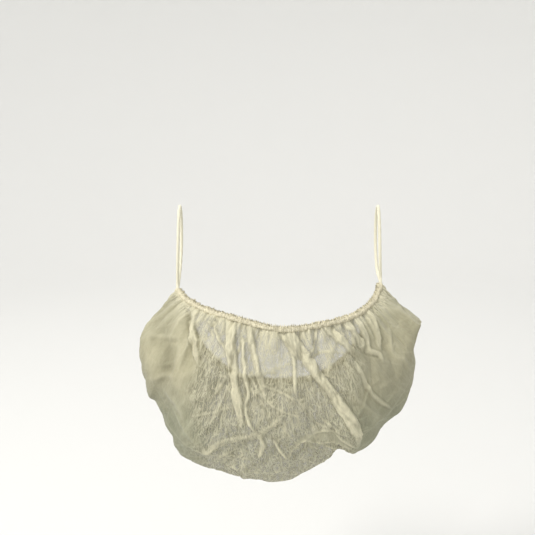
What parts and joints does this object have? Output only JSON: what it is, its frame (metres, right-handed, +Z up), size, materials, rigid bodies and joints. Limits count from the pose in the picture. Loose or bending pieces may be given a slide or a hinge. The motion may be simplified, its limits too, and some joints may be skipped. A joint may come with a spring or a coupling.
{
  "type": "disposable beard net",
  "caption": "Sheer gathered nonwoven pouch with a crimped elastic edge and two ear loops, worn over a beard to catch loose hair",
  "frame": {"origin": "midway between the undersides of the tops of the two ear loops, where the ears hold the net up", "axes": "+X to the picture's right, -Y to the front, +Z up"},
  "size_m": [0.2086, 0.1209, 0.1927],
  "materials": {
    "cloth": "sheer matte spunbonded polypropylene with visible fibres and creases",
    "edge": "crimped nonwoven gathered tightly over elastic",
    "loops": "matte covered elastic cord"
  },
  "bodies": {
    "root": {"pouch_front": "cloth", "pouch_rear": "cloth", "elastic_edge": "edge", "ear_loop_left": "loops", "ear_loop_right": "loops"}
  },
  "joints": []
}
